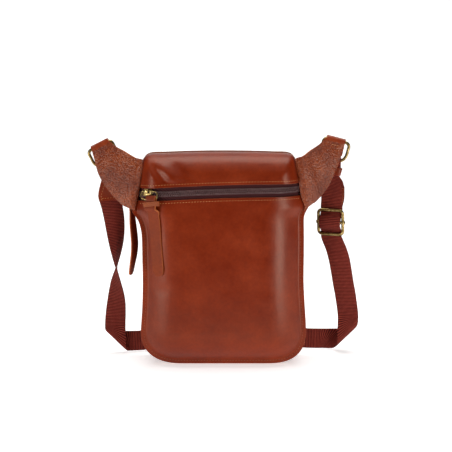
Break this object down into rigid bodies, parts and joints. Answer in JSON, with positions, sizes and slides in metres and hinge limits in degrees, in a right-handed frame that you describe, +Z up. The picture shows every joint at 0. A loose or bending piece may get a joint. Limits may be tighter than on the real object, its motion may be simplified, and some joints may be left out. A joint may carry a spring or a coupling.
{
  "type": "crossbody bag",
  "caption": "Small upright leather crossbody bag with a front zip pocket, a zip over its rolled top, leather wings with brass rings and a long webbing strap with a buckle.",
  "frame": {"origin": "on the ground under the middle of the bag's flat base", "axes": "+Z up, +X along the bag's width to the right as seen from the front, and the front with the zip pocket faces -Y"},
  "size_m": [0.3233, 0.154, 0.2702],
  "materials": {
    "smooth_leather": "waxed smooth leather with a soft gloss",
    "pebbled_leather": "pebbled leather with a soft gloss",
    "raw_leather": "plain raw edge",
    "zip_tape": "matt woven tape",
    "zip_coil": "satin moulded coil",
    "antique_brass": "aged brass, half polished",
    "webbing": "matt woven webbing"
  },
  "bodies": {
    "root": {"front_panel": "smooth_leather", "front_yoke": "smooth_leather", "back_panel": "smooth_leather", "back_yoke": "smooth_leather", "gusset": "smooth_leather", "front_pull": "smooth_leather", "top_pull": "smooth_leather", "strap_tab_left": "smooth_leather", "strap_tab_buckle": "smooth_leather", "strap_keeper_right": "smooth_leather", "ear_left": "pebbled_leather", "ear_right": "pebbled_leather", "front_pull_keeper": "raw_leather", "top_pull_keeper": "raw_leather", "front_zip_tape": "zip_tape", "top_zip_tape": "zip_tape", "front_zip_coil": "zip_coil", "top_zip_coil": "zip_coil", "front_slider": "antique_brass", "front_pull_ring": "antique_brass", "top_slider": "antique_brass", "top_pull_ring": "antique_brass", "ring_left": "antique_brass", "ring_right": "antique_brass", "buckle_frame": "antique_brass", "buckle_bar": "antique_brass", "strap": "webbing"}
  },
  "joints": []
}
